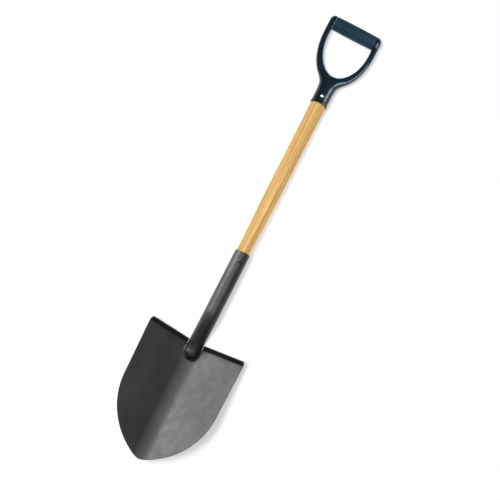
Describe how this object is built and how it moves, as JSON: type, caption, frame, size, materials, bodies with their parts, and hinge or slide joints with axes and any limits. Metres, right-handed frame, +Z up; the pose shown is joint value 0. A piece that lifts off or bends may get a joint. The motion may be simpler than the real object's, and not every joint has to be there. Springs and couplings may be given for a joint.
{
  "type": "round point shovel",
  "caption": "Round point shovel with a dished steel blade, foot steps, a cranked tube socket, a short wooden shaft and a D-grip.",
  "frame": {"origin": "middle of the footprint on the ground, with the shovel lying face up on the blade's heel and the grip's bar", "axes": "+X along the shovel towards the tip of the blade, +Z up, +Y across the blade"},
  "size_m": [1.0578, 0.2202, 0.0814],
  "materials": {
    "blade_paint": "satin dark grey enamel over pressed steel",
    "socket_paint": "satin dark grey enamel over rolled tube",
    "weld_paint": "satin dark grey enamel over a weld bead, thin on its crest",
    "shaft_wood": "clear varnish",
    "yoke_plastic": "gloss",
    "sleeve_plastic": "fine matte texture",
    "socket_rivet_steel": "satin",
    "bright_steel": "bright zinc plated"
  },
  "bodies": {
    "root": {"blade": "blade_paint", "socket": "socket_paint", "toe_weld": "weld_paint", "heel_weld": "weld_paint", "shaft": "shaft_wood", "socket_rivet": "socket_rivet_steel", "grip_yoke": "yoke_plastic", "grip_sleeve": "sleeve_plastic", "grip_rivet": "bright_steel", "grip_washer": "bright_steel"}
  },
  "joints": []
}
